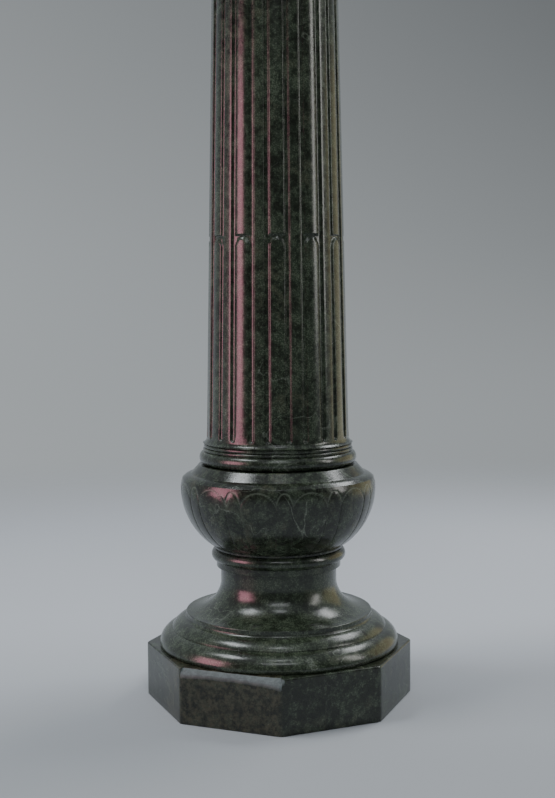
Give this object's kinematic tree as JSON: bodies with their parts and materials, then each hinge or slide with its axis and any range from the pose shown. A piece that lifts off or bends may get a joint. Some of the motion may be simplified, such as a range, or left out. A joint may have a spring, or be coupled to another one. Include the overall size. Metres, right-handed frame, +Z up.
{
  "type": "pedestal column",
  "caption": "Polished dark green serpentine pedestal column: octagonal plinth, turned foot, carved bulb, ribbed tapering shaft, plain capital and octagonal top slab.",
  "frame": {"origin": "centre of the plinth's underside, where the column stands on the floor", "axes": "+Z up the column's axis, -Y the front, where a corner of the plinth points, +X to the right seen from the front"},
  "size_m": [0.3248, 0.3248, 1.1513],
  "materials": {
    "plinth_stone": "polished",
    "foot_stone": "polished",
    "bulb_stone": "polished",
    "shaft_stone": "polished",
    "capital_stone": "polished",
    "abacus_stone": "polished"
  },
  "bodies": {
    "root": {"plinth": "plinth_stone", "foot": "foot_stone", "bulb": "bulb_stone", "shaft": "shaft_stone", "capital": "capital_stone", "abacus": "abacus_stone"}
  },
  "joints": []
}
